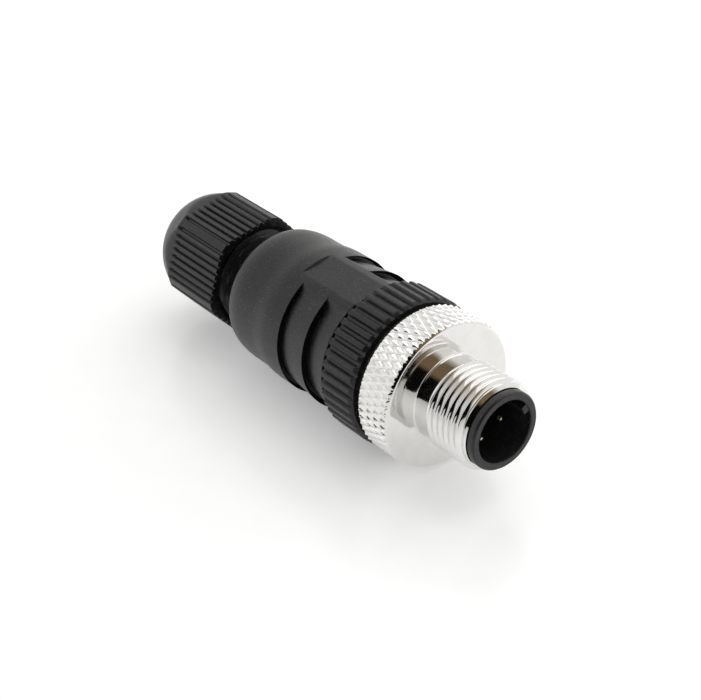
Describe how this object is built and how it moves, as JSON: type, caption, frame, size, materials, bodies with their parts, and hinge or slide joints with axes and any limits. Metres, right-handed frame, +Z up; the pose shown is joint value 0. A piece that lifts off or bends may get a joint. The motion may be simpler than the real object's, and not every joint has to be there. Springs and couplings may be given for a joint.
{
  "type": "m12 connector",
  "caption": "Straight field-wireable M12 cable plug with recessed pins, a knurled metal coupling screw, a ribbed grip ring, a plastic body sleeve and a cable gland nut.",
  "frame": {"origin": "middle of the plug's length, on the surface it lies on, straight under its axis", "axes": "+X along the plug's axis towards the pins, +Z up, +Y to the left of someone who looks along +X"},
  "size_m": [0.0658, 0.0204, 0.0204],
  "materials": {
    "housing_plastic": "fine eroded black polyamide",
    "insert_plastic": "black polyamide, slightly smoother",
    "plated_brass": "bright nickel plating on turned brass",
    "contact_metal": "thin gold plating on turned brass",
    "screw_steel": "plated steel",
    "seal_rubber": "black nitrile rubber"
  },
  "bodies": {
    "housing": {"body_sleeve": "housing_plastic", "grip_ring": "housing_plastic", "contact_insert": "insert_plastic", "body_o_ring": "seal_rubber", "insert_o_ring": "seal_rubber", "cable_seal": "seal_rubber", "contact_pin_1": "contact_metal", "contact_pin_2": "contact_metal", "contact_pin_3": "contact_metal", "contact_pin_4": "contact_metal", "terminal_screw_1": "screw_steel", "terminal_screw_2": "screw_steel", "terminal_screw_3": "screw_steel", "terminal_screw_4": "screw_steel"},
    "coupling": {"coupling_screw": "plated_brass"},
    "clamp": {"clamp_basket": "housing_plastic"},
    "nut": {"gland_nut": "housing_plastic"}
  },
  "joints": [
    {"name": "coupling_spin", "type": "hinge", "parent": "housing", "child": "coupling", "pos_m": [0.0199, 0, 0.01019], "axis": [1, 0, 0], "continuous": true},
    {"name": "clamp_slide", "type": "slide", "parent": "housing", "child": "clamp", "axis": [1, 0, 0], "range_m": [-0.003, 0.0024]},
    {"name": "nut_turn", "type": "hinge", "parent": "clamp", "child": "nut", "pos_m": [-0.0241, 0, 0.01019], "axis": [1, 0, 0], "range_deg": [-720, 575]}
  ],
  "couplings": [
    {"joint": "clamp_slide", "follows": "nut_turn", "m_per_rad": 0.00023873}
  ]
}
